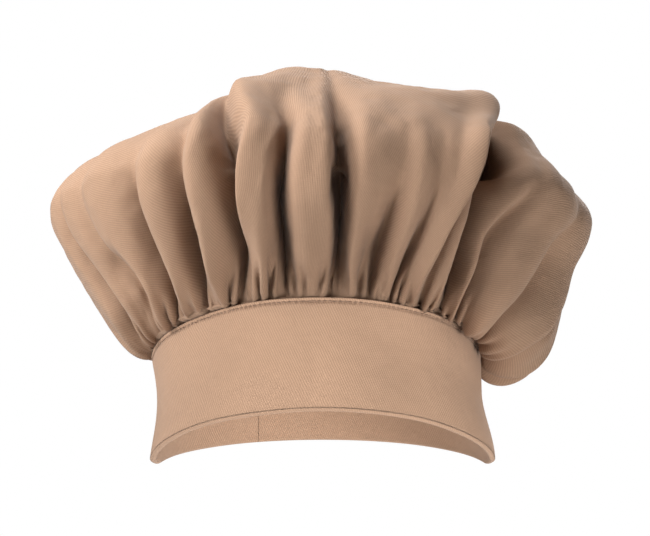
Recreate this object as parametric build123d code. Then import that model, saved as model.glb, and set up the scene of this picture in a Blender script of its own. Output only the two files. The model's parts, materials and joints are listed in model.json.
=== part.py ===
"""Chef toque: a gathered cloth crown sewn into a stiffened headband that closes at the back.

Frame: millimetres, +Z up, front of the hat towards -Y. The origin is the centre of the head opening,
on the plane that the two side feet of the headband stand on.

The headband is a strip folded along its bottom edge. In plan it is an oval of four arcs, and seen from
the side its edges are arched: low at the two sides, high at the front and the back. Every layer of it
is an oval ring cut by an arched slab, so layers are named by their distance out from the head.
"""

import math
import os

from build123d import *

# ---- Driving dimensions -------------------------------------------------------------------------
HEAD_HALF_WIDTH = 86.0  # inside of the headband, side to side: a 58 cm head
HEAD_HALF_DEPTH = 98.0  # inside of the headband, front to back
BAND_HEIGHT = 55.0
CLOTH = 0.5  # one layer of twill
THREAD = 0.3
STRIP = 0.8  # hook and loop tape
CROWN_WALL = 1.0  # gathered cloth lies about two layers deep
AIR = 0.05  # between layers that lie on each other
NECK_AIR = 0.25  # each side of the gathered cloth inside the headband

ARCH_SLOPE = 0.2174  # rise of the band's edges per mm towards the front and the back
ARCH_CORNER = 14.0  # where the side feet turn into the slopes
ARCH_FILLET = 40.0
ARCH_REACH = 125.0
RING_FLOOR, RING_TOP = -5.0, 105.0


def outside(below, thickness, air=AIR):
    """The layer that lies outside another one, across a little air."""
    return (below[1] + air, below[1] + air + thickness)


# ---- Layers of the headband, as distances out from its inside face ---------------------------------
INNER_LEAF = (0.0, CLOTH)
GATHER_THREAD_LAYER = outside(INNER_LEAF, THREAD)
CROWN_NECK = outside(GATHER_THREAD_LAYER, CROWN_WALL, NECK_AIR)
INTERFACING = outside(CROWN_NECK, 0.4, NECK_AIR)
OUTER_LEAF = outside(INTERFACING, CLOTH)
LINING_THREAD_LAYER = (-AIR - THREAD, -AIR)
FACE_THREAD_LAYER = outside(OUTER_LEAF, THREAD)
LOOP_LAYER = outside(OUTER_LEAF, STRIP)
HOOK_LAYER = outside(LOOP_LAYER, STRIP)
TAB_LAYER = outside(HOOK_LAYER, 3 * CLOTH)
TAB_POCKET = (TAB_LAYER[0] + CLOTH, TAB_LAYER[1] - CLOTH)
TAB_THREAD_LAYER = outside(TAB_LAYER, THREAD)

# ---- Heights inside the headband, up from its bottom edge -------------------------------------------
SEAM_ALLOWANCE = 10.0  # how far the gathered crown reaches down between the leaves
TOPSTITCH_HEIGHT = BAND_HEIGHT - 2.0
GATHER_ROWS = (BAND_HEIGHT - 4.0, BAND_HEIGHT - 7.0)
INTERFACING_HEIGHTS = (CLOTH + 0.5, BAND_HEIGHT - 1.5)
NECK_HEIGHT = BAND_HEIGHT + 1.0

# ---- Back closure ------------------------------------------------------------------------------------
END_GAP_X = -36.0  # where the two ends of the headband meet
END_GAP = 2.0
END_HEM = 1.5  # closed end of the folded strip, each side of the gap
END_CLEARANCE = 0.7
NECK_NOTCH_RISE = 0.4  # the crown's neck is notched to just above the band's closed ends
TAB_X = (-40.0, 38.0)  # root, tip
TAB_Z = (26.0, 68.0)
TAB_CORNER = 7.0
TAB_INTERFACING_INSET = CLOTH + 1.0
EDGE_STITCH_INSET = 3.0
LOOP_X = (-22.0, 46.0)
HOOK_X = (-8.0, 34.0)
STRIP_Z = (34.5, 59.5)
STRIP_CORNER = 1.5
STRIP_STITCH_INSET = 1.5
ANCHOR_X = (TAB_X[0] - 1.4, TAB_X[0] - 1.0)  # just clear of the tab's root
ANCHOR_STITCHES = 9
ANCHOR_LENGTH = 3.0
BACK_Y, BACK_DEPTH = 90.0, 80.0

# ---- Care label, inside at the back -------------------------------------------------------------------
LABEL_WIDTH, LABEL_HEIGHT, LABEL_THICKNESS = 30.0, 30.0, 0.6
LABEL_Y, LABEL_TOP = 95.1, 69.0
LABEL_CORNER = 2.0
LABEL_STITCHES = 8

# ---- Crown ----------------------------------------------------------------------------------------------
TOP_RADIUS = 72.0  # where the side of the crown hands over to its top
TOP_CLEARANCE = 2.0
SIDE_HEIGHT = 191.0
TOP_RIM_HEIGHT = SIDE_HEIGHT + 0.5
CROWN_HEIGHT = 211.0
WIRE_POINTS = 32
NECK_BITE = 0.25  # how deep the puff starts inside the neck
SHOULDER = 2  # the level above which the side is smooth, counted from the seam

# Outline of the crown above the seam: half width at the sides, half depth at the front and back,
# height at the sides, and how much of the band's arch the level still follows.
NECK_OUT = (HEAD_HALF_WIDTH + CROWN_NECK[1], HEAD_HALF_DEPTH + CROWN_NECK[1])
NECK_IN = (HEAD_HALF_WIDTH + CROWN_NECK[0], HEAD_HALF_DEPTH + CROWN_NECK[0])
CROWN_LEVELS = (
    (104.0, 114.0, BAND_HEIGHT + 6.0, 0.95),
    (121.0, 128.0, 82.0, 0.5),
    (139.0, 143.0, 112.0, 0.1),
    (143.0, 148.0, 131.0, 0.0),
    (132.0, 137.0, 151.0, 0.0),
    (106.0, 107.0, 172.0, 0.0),
    (TOP_RADIUS, TOP_RADIUS, SIDE_HEIGHT, 0.0),
)


def arch(y):
    """Rise of the headband's edges at distance y in front of or behind the middle."""
    angle = math.atan(ARCH_SLOPE)
    tangent = ARCH_FILLET * math.tan(angle / 2)
    along = abs(y) - (ARCH_CORNER - tangent)
    if along <= 0:
        return 0.0
    if along < ARCH_FILLET * math.sin(angle):
        return ARCH_FILLET - math.sqrt(ARCH_FILLET**2 - along**2)
    return ARCH_SLOPE * (abs(y) - ARCH_CORNER)


def arch_line(height):
    """The arched edge line, raised by height, as a filleted polyline in the YZ plane."""
    end = height + ARCH_SLOPE * (ARCH_REACH - ARCH_CORNER)
    corners = (
        (-ARCH_REACH, end),
        (-ARCH_CORNER, height),
        (ARCH_CORNER, height),
        (ARCH_REACH, end),
    )
    return FilletPolyline(*corners, radius=ARCH_FILLET)


def arched_slab(low, high):
    """Everything between two heights measured up from the headband's bottom edge."""
    bottom, top = arch_line(low), arch_line(high)
    left = Line(bottom @ 0, top @ 0)
    right = Line(bottom @ 1, top @ 1)
    profile = make_face(Curve() + [bottom, right, top, left])
    return extrude(Plane.YZ * profile, amount=ARCH_REACH, both=True)


def oval_radii(half_width, half_depth):
    """Distance of the arc centres from the middle, then the radii of the side and the end arcs."""
    centre = (half_depth - half_width) * (1 + math.sqrt(0.5))
    return centre, half_width + centre, half_depth - centre


def oval_point(half_width, half_depth, angle):
    """The point of an oval whose outward normal points along angle."""
    centre, side_radius, end_radius = oval_radii(half_width, half_depth)
    x, y = math.cos(angle), math.sin(angle)
    if abs(x) > abs(y):
        return side_radius * x - math.copysign(centre, x), side_radius * y
    return end_radius * x, end_radius * y + math.copysign(centre, y)


def oval(offset):
    """The plan of the headband's inside face, moved outwards by offset, as a face."""
    centre, side_radius, end_radius = oval_radii(HEAD_HALF_WIDTH + offset, HEAD_HALF_DEPTH + offset)
    arcs = [
        CenterArc((-centre, 0), side_radius, -45, 90),
        CenterArc((0, centre), end_radius, 45, 90),
        CenterArc((centre, 0), side_radius, 135, 90),
        CenterArc((0, -centre), end_radius, 225, 90),
    ]
    return make_face(Curve() + arcs)


def back_face_y(x):
    """How far back the headband's inside face lies at x, near the middle of the back."""
    centre, _, end_radius = oval_radii(HEAD_HALF_WIDTH, HEAD_HALF_DEPTH)
    return centre + math.sqrt(end_radius**2 - x**2)


def ring(layer):
    """A tall oval wall that fills a layer."""
    inner, outer = layer
    wall = extrude(oval(outer), amount=RING_TOP - RING_FLOOR)
    wall -= extrude(oval(inner), amount=RING_TOP - RING_FLOOR)
    return Pos(0, 0, RING_FLOOR) * wall


def band_layer(layer, low, high):
    """A layer of the headband between two heights above its bottom edge."""
    return ring(layer) & arched_slab(low, high)


def back_window(x_range, z_range, corner=0.0):
    """A block over the back of the hat, for cutting tabs and strips out of a ring."""
    block = Box(x_range[1] - x_range[0], BACK_DEPTH, z_range[1] - z_range[0])
    if corner:
        block = fillet(block.edges().filter_by(Axis.Y), corner)
    return Pos(sum(x_range) / 2, BACK_Y, sum(z_range) / 2) * block


def inset(span, by):
    """A span shortened by the same amount at both ends."""
    return (span[0] + by, span[1] - by)


def end_gap(margin, top=RING_TOP):
    """The cut between the two ends of the headband, widened by margin on each side."""
    half = END_GAP / 2 + margin
    return back_window((END_GAP_X - half, END_GAP_X + half), (RING_FLOOR, top))


def thread_frame(layer, x_range, z_range, corner):
    """A rectangle of stitching that lies in a layer at the back."""
    hole = back_window(inset(x_range, THREAD), inset(z_range, THREAD), corner - THREAD)
    return (ring(layer) & back_window(x_range, z_range, corner)) - hole


def headband():
    whole = band_layer((INNER_LEAF[0], OUTER_LEAF[1]), 0, BAND_HEIGHT)
    pocket = band_layer((INNER_LEAF[1], OUTER_LEAF[0]), CLOTH, NECK_HEIGHT)
    pocket -= end_gap(END_HEM)
    return whole - pocket - end_gap(0)


def headband_interfacing():
    return band_layer(INTERFACING, *INTERFACING_HEIGHTS) - end_gap(END_HEM + END_CLEARANCE)


def thread_row(layer, height):
    """One row of stitching round the headband, at a height above its bottom edge."""
    return band_layer(layer, height - THREAD / 2, height + THREAD / 2)


def gathering_threads():
    rows = [thread_row(GATHER_THREAD_LAYER, height) for height in GATHER_ROWS]
    return Compound([row - end_gap(END_HEM + END_CLEARANCE) for row in rows])


def crown_wire(half_width, half_depth, height, follow):
    """A closed curve round the crown. follow is the share of the band's arch it still has."""
    points = []
    for step in range(WIRE_POINTS):
        angle = 2 * math.pi * step / WIRE_POINTS
        x, y = oval_point(half_width, half_depth, angle)
        rise = follow * arch(NECK_OUT[1] * y / half_depth)
        points.append((x, y, height + rise))
    return Wire([Edge.make_spline(points, periodic=True)])


def wall_inside(levels):
    """The same outline moved inwards by the crown's wall, square to the outline at each level."""
    moved = []
    for index, (half_width, half_depth, height, follow) in enumerate(levels):
        before = levels[max(index - 1, 0)]
        after = levels[min(index + 1, len(levels) - 1)]
        run, climb = after[0] - before[0], after[2] - before[2]
        length = math.hypot(run, climb)
        inward, upward = CROWN_WALL * climb / length, CROWN_WALL * run / length
        moved.append((half_width - inward, half_depth - inward, height + upward, follow))
    return moved


def lofts(levels):
    """The faces that join a run of crown levels: ruled up to the shoulder, smooth above it."""
    wires = [crown_wire(*level) for level in levels]
    low = Shell.make_loft(wires[: SHOULDER + 1], ruled=True)
    high = Shell.make_loft(wires[SHOULDER:])
    return wires, [*low.faces(), *high.faces()]


def crown_puff():
    """The side of the crown above the band. It starts inside the thickness of the neck."""
    outer_start = (NECK_OUT[0] - NECK_BITE, NECK_OUT[1] - NECK_BITE, NECK_HEIGHT - 2 * NECK_BITE, 1.0)
    inner_start = (NECK_IN[0] + NECK_BITE, NECK_IN[1] + NECK_BITE, NECK_HEIGHT - NECK_BITE, 1.0)
    outer, outer_faces = lofts((outer_start, *CROWN_LEVELS))
    inner, inner_faces = lofts((inner_start, *wall_inside(CROWN_LEVELS)))
    bottom = Shell.make_loft([outer[0], inner[0]], ruled=True).faces()
    rim = Shell.make_loft([outer[-1], inner[-1]], ruled=True).faces()
    return Solid(Shell([*outer_faces, *inner_faces, *bottom, *rim]))


def crown_side():
    """The gathered side: a short neck between the leaves of the band, then the puff."""
    wall = band_layer(CROWN_NECK, BAND_HEIGHT - SEAM_ALLOWANCE, NECK_HEIGHT) + crown_puff()
    margin = END_HEM + END_CLEARANCE
    highest_y = back_face_y(END_GAP_X + END_GAP / 2 + margin) + OUTER_LEAF[1]
    return wall - end_gap(margin, BAND_HEIGHT + arch(highest_y) + NECK_NOTCH_RISE)


def crown_top():
    """The top of the crown: a shallow dome that can be pressed down inside the side."""
    radius = TOP_RADIUS - TOP_CLEARANCE
    rise = CROWN_HEIGHT - TOP_RIM_HEIGHT
    sphere = (radius**2 + rise**2) / (2 * rise)
    shell = Pos(0, 0, CROWN_HEIGHT - sphere) * (Sphere(sphere) - Sphere(sphere - CROWN_WALL))
    return shell & Pos(0, 0, CROWN_HEIGHT) * Cylinder(radius, sphere)


def closure_tab():
    body = ring(TAB_LAYER) & back_window(TAB_X, TAB_Z, TAB_CORNER)
    pocket = back_window(inset(TAB_X, CLOTH), inset(TAB_Z, CLOTH), TAB_CORNER - CLOTH)
    return body - (ring(TAB_POCKET) & pocket)


def closure_tab_interfacing():
    by = TAB_INTERFACING_INSET
    window = back_window(inset(TAB_X, by), inset(TAB_Z, by), TAB_CORNER - by)
    return ring(inset(TAB_POCKET, AIR)) & window


def tab_edge_stitching():
    by = EDGE_STITCH_INSET
    return thread_frame(TAB_THREAD_LAYER, inset(TAB_X, by), inset(TAB_Z, by), TAB_CORNER - by)


def strip(layer, x_range):
    return ring(layer) & back_window(x_range, STRIP_Z, STRIP_CORNER)


def strip_stitching(layer, x_range):
    by = STRIP_STITCH_INSET
    return thread_frame(layer, inset(x_range, by), inset(STRIP_Z, by), 2 * THREAD)


def tab_anchor_stitches():
    """Short bars of thread that hold the root of the tab down to the band."""
    step = (TAB_Z[1] - TAB_Z[0]) / ANCHOR_STITCHES
    wall = ring((FACE_THREAD_LAYER[0], TAB_LAYER[1] - THREAD))
    bars = []
    for index in range(ANCHOR_STITCHES):
        middle = TAB_Z[0] + (index + 0.5) * step
        z_range = (middle - ANCHOR_LENGTH / 2, middle + ANCHOR_LENGTH / 2)
        bars.append(wall & back_window(ANCHOR_X, z_range))
    return Compound(bars)


def care_label():
    plate = Box(LABEL_WIDTH, LABEL_THICKNESS, LABEL_HEIGHT)
    plate = fillet(plate.edges().filter_by(Axis.Y).group_by(Axis.Z)[0], LABEL_CORNER)
    return Pos(0, LABEL_Y, LABEL_TOP - LABEL_HEIGHT / 2) * plate


def care_label_stitches():
    """Bars of thread that tack the top of the label to the inside of the band."""
    near = LABEL_Y - LABEL_THICKNESS / 2
    far = back_face_y(LABEL_WIDTH / 2) - AIR
    step = LABEL_WIDTH / LABEL_STITCHES
    bar = Box(step / 2, far - near, THREAD)
    height = LABEL_TOP + 2 * THREAD
    centres = [(index + 0.5) * step - LABEL_WIDTH / 2 for index in range(LABEL_STITCHES)]
    return Compound([Pos(x, (near + far) / 2, height) * bar for x in centres])


NODES = {
    "headband": headband,
    "headband_interfacing": headband_interfacing,
    "gathering_threads": gathering_threads,
    "topstitch_needle_thread": lambda: thread_row(FACE_THREAD_LAYER, TOPSTITCH_HEIGHT) - end_gap(0),
    "topstitch_bobbin_thread": lambda: thread_row(LINING_THREAD_LAYER, TOPSTITCH_HEIGHT) - end_gap(0),
    "crown_side": crown_side,
    "crown_top": crown_top,
    "loop_strip": lambda: strip(LOOP_LAYER, LOOP_X),
    "loop_strip_stitching": lambda: strip_stitching(LINING_THREAD_LAYER, LOOP_X),
    "hook_strip": lambda: strip(HOOK_LAYER, HOOK_X),
    "hook_strip_stitching": lambda: strip_stitching(TAB_THREAD_LAYER, HOOK_X),
    "closure_tab": closure_tab,
    "closure_tab_interfacing": closure_tab_interfacing,
    "tab_edge_stitching": tab_edge_stitching,
    "tab_anchor_stitches": tab_anchor_stitches,
    "care_label": care_label,
    "care_label_stitches": care_label_stitches,
}


def main():
    os.makedirs("parts", exist_ok=True)
    for name, build in NODES.items():
        export_step(Part() + build(), f"parts/{name}.step")


main()
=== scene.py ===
"""Looks for the chef toque: cloth crown, folded headband, stitching and the closure at the back.

Units are metres, +Z up, front towards -Y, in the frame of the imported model. Angles round the hat are
bearings: 0 at the front, growing towards +X. A place in the headband is given by its bearing, its
distance out from the inside face and its height above the lower edge. The crown is one circle of cloth,
and a place in it is given by its bearing and its share of the way from the seam to the circle's middle.

A shape is a tuple of points, faces and flat: flat holds each point's place in the uncut cloth, which
the weave of the materials follows.
"""

import json
import math

import bpy
import numpy as np
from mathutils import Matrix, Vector

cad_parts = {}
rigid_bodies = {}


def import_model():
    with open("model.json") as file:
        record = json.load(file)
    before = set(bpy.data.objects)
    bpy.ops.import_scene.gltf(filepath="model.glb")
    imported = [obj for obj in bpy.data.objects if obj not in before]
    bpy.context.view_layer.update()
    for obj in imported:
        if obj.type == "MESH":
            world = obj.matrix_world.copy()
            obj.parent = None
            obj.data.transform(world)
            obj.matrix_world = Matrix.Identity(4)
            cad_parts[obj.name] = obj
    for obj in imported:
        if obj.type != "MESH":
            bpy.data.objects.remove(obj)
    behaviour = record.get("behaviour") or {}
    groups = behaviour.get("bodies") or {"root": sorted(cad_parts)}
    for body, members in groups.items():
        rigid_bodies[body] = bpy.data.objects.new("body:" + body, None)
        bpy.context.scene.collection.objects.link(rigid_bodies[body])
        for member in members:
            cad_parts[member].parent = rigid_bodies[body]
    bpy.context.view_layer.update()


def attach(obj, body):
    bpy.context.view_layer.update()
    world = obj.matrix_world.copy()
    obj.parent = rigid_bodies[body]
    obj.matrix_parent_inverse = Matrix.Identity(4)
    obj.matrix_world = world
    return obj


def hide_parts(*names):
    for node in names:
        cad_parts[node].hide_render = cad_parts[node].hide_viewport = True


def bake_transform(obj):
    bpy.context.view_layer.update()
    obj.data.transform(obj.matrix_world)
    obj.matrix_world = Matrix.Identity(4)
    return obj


SEED = 11
MM = 0.001

# ---- The hat's own sizes, as in the CAD part ----
HEAD_HALF_WIDTH, HEAD_HALF_DEPTH = 86 * MM, 98 * MM
BAND_HEIGHT = 55 * MM
CLOTH = 0.5 * MM
THREAD_RADIUS = 0.15 * MM
ARCH_SLOPE, ARCH_CORNER, ARCH_FILLET = 0.2174, 14 * MM, 40 * MM

# Layers of the headband, as distances out from its inside face.
LINING_THREAD = -0.12 * MM
INNER_LEAF = (0.0, 0.5 * MM)
GATHER_THREAD = 0.7 * MM
NECK = 1.6 * MM  # middle of the gathered cloth between the leaves
INTERFACING = (2.35 * MM, 2.75 * MM)
OUTER_LEAF = (2.8 * MM, 3.3 * MM)
FACE_THREAD = 3.42 * MM
LOOP_TAPE = (3.35 * MM, 4.15 * MM)
HOOK_TAPE = (4.2 * MM, 5.0 * MM)
TAB = (5.05 * MM, 6.55 * MM)
TAB_INTERFACING = (5.6 * MM, 6.0 * MM)
TAB_THREAD = 6.67 * MM

# Heights in the headband.
FOLD_HEIGHT = 1.8 * MM  # where the fold at the lower edge starts to turn
TOPSTITCH_HEIGHT = 53 * MM
GATHER_ROWS = (51 * MM, 48 * MM)
SEAM_ALLOWANCE, NECK_ROWS = 10 * MM, 5

# Back closure: places across the back, and up from the floor of the hat.
END_GAP_X = -36 * MM
END_HEM = 1.5 * MM
TAB_X, TAB_Z, TAB_CORNER = (-40 * MM, 38 * MM), (26 * MM, 68 * MM), 7 * MM
TAB_BEND_X = (-39 * MM, -30 * MM)  # across the tab's root, where the cloth would bend as the tab is peeled
LOOP_X, HOOK_X, STRIP_Z = (-22 * MM, 46 * MM), (-8 * MM, 34 * MM), (34.5 * MM, 59.5 * MM)
EDGE_STITCH_INSET, STRIP_STITCH_INSET = 3 * MM, 1.5 * MM
ANCHOR_X = (-42.2 * MM, -38.8 * MM)
ANCHOR_STITCHES = 18
LABEL_HALF_WIDTH, LABEL_TOP, LABEL_HEIGHT, LABEL_Y = 15 * MM, 69 * MM, 30 * MM, 95.1 * MM
LABEL_STITCHES = 12
TAPE_GROUND, TAPE_CORNER = 0.35 * MM, 1.5 * MM  # the woven ground under the loops and the hooks
TAPE_EDGE = 2 * MM  # bare border round the pile
LOOPS = {"pitch": 1.1 * MM, "spread": 0.45 * MM, "sweep": 180, "scatter": 1.2,
         "radius": 0.045 * MM, "seed": SEED + 2}
HOOKS = {"pitch": 1.5 * MM, "spread": 0.4 * MM, "sweep": 140, "scatter": 0.0,
         "radius": 0.08 * MM, "seed": SEED + 3}
SEAM_CORNER = 0.6 * MM
COARSE_STEP, FINE_STEP = 2 * MM, 1.2 * MM  # spacing of points in the sheets of the closure

# Stitches: pitch and the length of thread that shows.
TOPSTITCH = (2.5 * MM, 2.0 * MM)
BASTING = (4.5 * MM, 3.0 * MM)
CLOSURE_STITCH = (2.4 * MM, 1.9 * MM)

# How the worn band differs from a true oval.
LEFT_LEAN, RIGHT_LEAN = 3.7 * MM, 6.5 * MM
LEAN_HEIGHT = 60 * MM
DENT_BEARING, DENT_HEIGHT, DENT_DEPTH = math.radians(27), 34 * MM, 1.3 * MM

# ---- Crown ----
CIRCLE_RADIUS = 0.272  # the cloth before it is gathered
SEAM_COLUMNS = 384
SEAM_ROW_STEP, TOP_ROW_STEP = 3.3 * MM, 4.6 * MM
SIM_SCALE = 10.0  # the cloth solver works best at this size
SIM_FRAMES = 20
KEEP_SHAPE_STEPS = 220  # rounds of smoothing that tell the crown's shape from its folds
GATHERS, GATHER_HEIGHT = 112, 3.4 * MM

# How the cloth gives as it settles.
CLOTH_SETTINGS = {
    "quality": 5, "mass": 0.02, "bending_model": "ANGULAR",
    "tension_stiffness": 40, "compression_stiffness": 0.1, "shear_stiffness": 4, "bending_stiffness": 12,
    "tension_damping": 20, "compression_damping": 20, "shear_damping": 10, "bending_damping": 2,
    "air_damping": 4, "vertex_group_mass": "seam", "pin_stiffness": 0.6,
    "use_pressure": True, "uniform_pressure_force": 0.5,
}

# Profiles of the crown from the seam to its top: distance from the axis and height, in mm.
PROFILE_SAMPLES = 200
LEFT_PROFILE = ((88, 56), (91, 56), (97, 61), (104, 72), (115, 89), (127, 105), (138, 121), (143, 134),
                (133, 150), (105, 160), (73, 172), (46, 187), (24, 201), (0, 208))
RIGHT_PROFILE = ((88, 56), (96, 46), (108, 48), (118, 62), (122, 82), (126, 100), (138, 116),
                 (142, 128), (132, 139), (118, 151), (112, 162), (107, 171), (85, 173), (52, 180),
                 (27, 194), (0, 208))
FRONT_PROFILE = ((100, 76), (102, 83), (108, 92), (118, 102), (130, 112), (139, 123), (141, 135),
                 (135, 148), (120, 160), (98, 172), (70, 186), (38, 202), (0, 208))
BACK_PROFILE = ((100, 76), (110, 75), (124, 81), (136, 96), (143, 113), (144, 128), (136, 146),
                (118, 161), (94, 173), (66, 187), (36, 202), (0, 208))

# Folds seen at the front, left to right. Each is a crest (positive) or a hollow (negative) that runs up
# from the seam: its bearing at the seam, then its bearing at each level, then its height in mm there.
FOLD_LEVELS = (0.10, 0.24, 0.40, 0.62)
FRONT_FOLDS = (
    (-84, (-76, -79, -83, -88), (6, 5, 2, 0)),
    (-79, (-72, -76, -78, -82), (-9, -6, -1, 0)),
    (-73, (-66, -70, -74, -78), (6, 4, 1, 0)),
    (-68, (-62, -65, -68, -70), (-9, -5, -1, 0)),
    (-62, (-56, -59, -61, -66), (6, 4, 1, 0)),
    (-56, (-51, -50, -51, -55), (-12, -12, -3, 0)),
    (-50, (-47, -46, -45, -50), (7, 6, 2, 0)),
    (-45, (-41, -37, -37, -46), (-11, -12, -4, 1)),
    (-38, (-35, -31, -31, -43), (8, 7, 7, 6)),
    (-29, (-23, -20, -24, -39), (-16, -25, -18, 3)),
    (-25, (-22, -22, -18, -35), (7, 8, 9, 13)),
    (-20, (-17, -15, -12, -26), (7, 7, 3, 9)),
    (-12, (-12, -11, -9, -15), (-15, -19, -5, 4)),
    (-7, (-8, -6, -4, -6), (7, 7, 5, 2)),
    (-1, (2, 2, 1, 0), (8, 8, 6, 3)),
    (4, (5, 5, 4, 5), (-19, -28, -10, 0)),
    (9, (8, 9, 11, 13), (5, 4, 5, 3)),
    (17, (17, 19, 22, 26), (-13, -5, 6, 4)),
    (21, (21, 23, 27, 34), (7, 6, 7, 5)),
    (25, (25, 27, 31, 42), (-10, 0, 7, 6)),
    (30, (28, 29, 36, 54), (5, 7, 8, 6)),
    (34, (31, 33, 42, 63), (9, 11, 15, 11)),
    (37, (33, 33, 40, 65), (-8, -2, 0, 4)),
    (41, (37, 37, 41, 66), (5, 4, -6, 0)),
    (47, (42, 40, 47, 68), (-15, -28, -26, -12)),
    (51, (45, 45, 54, 71), (3, 0, 2, 2)),
    (55, (47, 48, 57, 74), (-12, -9, 3, 3)),
    (59, (50, 53, 60, 77), (2, 5, 5, 3)),
    (64, (55, 57, 64, 80), (8, 8, 4, 2)),
    (68, (59, 68, 75, 86), (-11, -8, -1, 0)),
    (75, (69, 82, 86, 92), (8, 5, 2, 1)),
    (81, (75, 88, 94, 98), (-11, -6, -1, 0)),
)
# Folds of the sides and the back are drawn at random, as those at the front are described.
BACK_BEARINGS = (87.0, 270)
BACK_LEAN = ((87, 120, 160, 200, 240, 270), (6, 2, -2, 2, -2, 0))  # bearings, and how folds there lean
BACK_CRESTS, BACK_HOLLOWS, BACK_FADES, BACK_SPACING = (3, 9), (5, 15), (0.0, 0.8), (4.0, 9.0)
FIELD_BEARINGS, FIELD_SHARES = 1440, 201  # samples of the fold field
HOLLOW_DEPTH = 1.2  # the hollows' heights are all deepened by this
ANY_PHASE = (0, 6.3)
# Waves of the gathers: how many, how tall, and the shares where they start, are tallest and end.
GATHER_WAVES = ((84, 2.0 * MM, -0.01, 0.03, 0.13), (42, 2.5 * MM, 0.0, 0.10, 0.26))

# Painted shade: creases are darker than open cloth, because shade is painted into their colour.
PAINTED_SHADE_REACH, PAINTED_CREASE_SHADE = 18 * MM, 0.55


def smoothstep(low, high, x):
    t = np.clip((x - low) / (high - low), 0, 1)
    return t * t * (3 - 2 * t)


def hump(x, middle, width):
    return np.exp(-(((x - middle) / width) ** 2))


# ---- Headband: where its places are ----


def arch(y):
    """Rise of the headband's edges at distance y in front of or behind the middle."""
    angle = math.atan(ARCH_SLOPE)
    start = ARCH_CORNER - ARCH_FILLET * math.tan(angle / 2)
    along = np.clip(np.abs(y) - start, 0, ARCH_FILLET * math.sin(angle))
    curved = ARCH_FILLET - np.sqrt(ARCH_FILLET**2 - along**2)
    past_curve = np.abs(y) > start + ARCH_FILLET * math.sin(angle)
    return np.where(past_curve, ARCH_SLOPE * (np.abs(y) - ARCH_CORNER), curved)


ARC_CENTRE = (HEAD_HALF_DEPTH - HEAD_HALF_WIDTH) * (1 + math.sqrt(0.5))
SIDE_RADIUS = HEAD_HALF_WIDTH + ARC_CENTRE
END_RADIUS = HEAD_HALF_DEPTH - ARC_CENTRE


def band_oval(bearing, offset):
    """Points on the headband's four-arc oval, offset outwards, by bearing of the outward normal."""
    x, y = np.sin(bearing), -np.cos(bearing)
    on_side = np.abs(x) > np.abs(y)
    side, end = SIDE_RADIUS + offset, END_RADIUS + offset
    across = np.where(on_side, side * x - np.sign(x) * ARC_CENTRE, end * x)
    deep = np.where(on_side, side * y, end * y + np.sign(y) * ARC_CENTRE)
    return across, deep


def looseness(bearing):
    """1 at the front and sides and 0 at the back, where the closure holds the band to its true oval."""
    return smoothstep(-0.8, -0.3, np.cos(bearing))


def lean(bearing, height):
    """How far a side of the band leans in towards the head."""
    left = LEFT_LEAN * np.sin(np.pi * np.clip(height / LEAN_HEIGHT, 0, 1)) ** 1.3
    right = RIGHT_LEAN * smoothstep(0, 0.6 * LEAN_HEIGHT, height)
    side = np.sin(bearing)
    return looseness(bearing) * np.abs(side) ** 3 * np.where(side < 0, left, -right)


def ripple(bearing, height):
    """Soft dents of the worn band, outwards."""
    slow = 0.35 * np.sin(5.3 * bearing + 40 * height + 0.7)
    fast = 0.25 * np.sin(9.1 * bearing - 55 * height + 2.0)
    dent = hump(bearing, DENT_BEARING, 0.2) * hump(height, DENT_HEIGHT, 20 * MM)
    return looseness(bearing) * ((slow + fast) * MM - DENT_DEPTH * dent)


def band_point(bearing, offset, height):
    """Points of the headband. All of its layers lean and ripple together."""
    x, y = band_oval(bearing, offset + ripple(bearing, height))
    return np.stack(np.broadcast_arrays(x + lean(bearing, height), y, height + arch(y)), -1)


def band_normal(bearing):
    return np.stack([np.sin(bearing), -np.cos(bearing), np.zeros_like(bearing)], -1)


def back_point(x, z, offset):
    """Points over the back of the band, where it is a true arc."""
    y = ARC_CENTRE + np.sqrt((END_RADIUS + offset) ** 2 - x**2)
    return np.stack(np.broadcast_arrays(x, y, z), -1)


def back_normal(x):
    share = x / END_RADIUS
    return np.stack([share, np.sqrt(1 - share**2), np.zeros_like(x)], -1)


GAP_BEARING = math.pi + math.asin(-END_GAP_X / (END_RADIUS + NECK))


def band_bearings(columns, clearance):
    """Bearings from one end of the strip round the front to the other, closer together near the ends."""
    ends = (clearance + np.array([0, 0.3, 0.8]) * END_HEM) / END_RADIUS
    inner = (clearance + 1.4 * END_HEM) / END_RADIUS
    low, high = GAP_BEARING - 2 * math.pi, GAP_BEARING
    middle = np.linspace(low + inner, high - inner, columns)
    return np.concatenate([low + ends, middle, high - ends[::-1]])


# ---- Shapes ----


def grid_faces(rows, columns, closed=False):
    """Quads that join points numbered row by row. In a closed grid the last column meets the first."""
    i, j = np.meshgrid(np.arange(rows - 1), np.arange(columns if closed else columns - 1), indexing="ij")
    k = (j + 1) % columns
    corners = [i * columns + j, i * columns + k, (i + 1) * columns + k, (i + 1) * columns + j]
    return np.stack(corners, -1).reshape(-1, 4).tolist()


def strip_faces(columns, size):
    """Quads along a strip whose section is a loop of size points."""
    faces = []
    for here in range(0, (columns - 1) * size, size):
        there = here + size
        for i in range(size):
            k = (i + 1) % size
            faces.append((here + i, there + i, there + k, here + k))
    return faces


def merged(shapes):
    """Several shapes as one."""
    points, faces, flat, start = [], [], [], 0
    for shape_points, shape_faces, shape_flat in shapes:
        points.append(shape_points)
        flat.append(shape_flat)
        faces += [[start + index for index in face] for face in shape_faces]
        start += len(shape_points)
    return np.concatenate(points), faces, np.concatenate(flat)


def read(items, name, width=1, kind=np.float32):
    """A property of each of a mesh's points, edges or corners."""
    values = np.zeros(len(items) * width, kind)
    items.foreach_get(name, values)
    return values if width == 1 else values.reshape(-1, width)


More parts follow.
